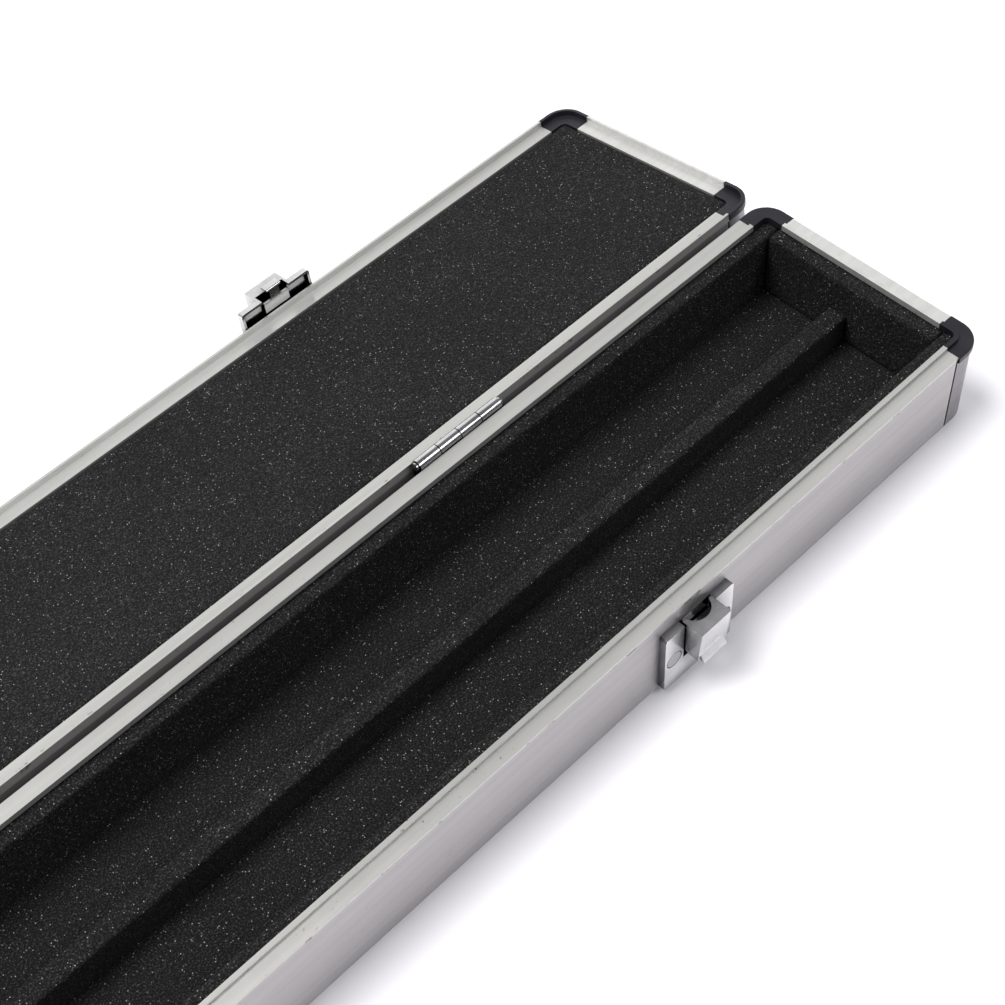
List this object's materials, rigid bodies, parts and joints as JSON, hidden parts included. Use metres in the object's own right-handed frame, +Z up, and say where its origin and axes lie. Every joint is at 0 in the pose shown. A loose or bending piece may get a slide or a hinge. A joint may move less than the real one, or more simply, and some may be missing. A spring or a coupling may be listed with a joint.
{
  "type": "cue case",
  "caption": "Slim aluminium-framed cue case, open flat, with black foam channels, black corner caps, chrome hinges and chrome key catches",
  "frame": {"origin": "centre of the flat underside of the base", "axes": "+X along the case, +Y from the catches towards the hinges, +Z up; the case is stored open with the lid folded back behind the base"},
  "size_m": [1.2012, 0.2064, 0.0372],
  "materials": {
    "panel_aluminium": "satin",
    "post_aluminium": "satin",
    "rim_aluminium": "satin",
    "black_plastic": "matte",
    "foam": "open cell foam",
    "chrome": "polished"
  },
  "bodies": {
    "base": {"base_bottom_panel": "panel_aluminium", "base_front_panel": "panel_aluminium", "base_back_panel": "panel_aluminium", "base_end_panel_left": "panel_aluminium", "base_end_panel_right": "panel_aluminium", "base_front_rim": "rim_aluminium", "base_back_rim": "rim_aluminium", "base_end_rim_left": "rim_aluminium", "base_end_rim_right": "rim_aluminium", "base_corner_caps": "black_plastic", "base_corner_posts": "post_aluminium", "base_foam_floor": "foam", "base_foam_front": "foam", "base_foam_back": "foam", "base_foam_divider": "foam", "base_foam_end_left": "foam", "base_foam_end_right": "foam", "hinge_leaf_base_left": "chrome", "hinge_leaf_base_middle": "chrome", "hinge_leaf_base_right": "chrome", "base_rivets": "chrome", "catch_plate_left": "chrome", "catch_plate_right": "chrome", "catch_rivets": "panel_aluminium", "lever_pins": "chrome", "handle_bracket_left": "chrome", "handle_bracket_right": "chrome", "handle_screws": "chrome", "handle_pins": "chrome", "hinge_pins": "chrome"},
    "lid": {"lid_top_panel": "panel_aluminium", "lid_front_panel": "panel_aluminium", "lid_back_panel": "panel_aluminium", "lid_end_panel_left": "panel_aluminium", "lid_end_panel_right": "panel_aluminium", "lid_front_rim": "rim_aluminium", "lid_back_rim": "rim_aluminium", "lid_end_rim_left": "rim_aluminium", "lid_end_rim_right": "rim_aluminium", "lid_corner_caps": "black_plastic", "lid_corner_posts": "post_aluminium", "lid_foam_pad": "foam", "lid_rivets": "chrome", "hinge_leaf_lid_left": "chrome", "hinge_leaf_lid_middle": "chrome", "hinge_leaf_lid_right": "chrome", "strike_plate_left": "chrome", "strike_plate_right": "chrome", "strike_rivets": "panel_aluminium", "claw_pins": "chrome", "lock_barrel_left": "chrome", "lock_barrel_right": "chrome"},
    "release_lever_left": {"release_lever_left": "chrome"},
    "release_lever_right": {"release_lever_right": "chrome"},
    "claw_left": {"claw_left": "chrome"},
    "claw_right": {"claw_right": "chrome"},
    "handle": {"handle_bail": "chrome", "handle_sleeve": "black_plastic"}
  },
  "joints": [
    {"name": "lid_hinge", "type": "hinge", "parent": "base", "child": "lid", "pos_m": [0, 0.0474, 0.03515], "axis": [1, 0, 0], "range_deg": [0, 188.06]},
    {"name": "release_lever_left", "type": "hinge", "parent": "base", "child": "release_lever_left", "pos_m": [-0.4635, -0.051, 0.0245], "axis": [-1, 0, 0], "range_deg": [0, 10]},
    {"name": "release_lever_right", "type": "hinge", "parent": "base", "child": "release_lever_right", "pos_m": [0.4635, -0.051, 0.0245], "axis": [-1, 0, 0], "range_deg": [0, 10]},
    {"name": "claw_left", "type": "hinge", "parent": "lid", "child": "claw_left", "pos_m": [-0.4635, 0.14064, 0.01393], "axis": [-1, 0, 0], "range_deg": [0, 10.5]},
    {"name": "claw_right", "type": "hinge", "parent": "lid", "child": "claw_right", "pos_m": [0.4635, 0.14064, 0.01393], "axis": [-1, 0, 0], "range_deg": [0, 10.5]},
    {"name": "handle", "type": "hinge", "parent": "base", "child": "handle", "pos_m": [0, -0.0525, 0.023], "axis": [-1, 0, 0], "range_deg": [0, 172]}
  ]
}
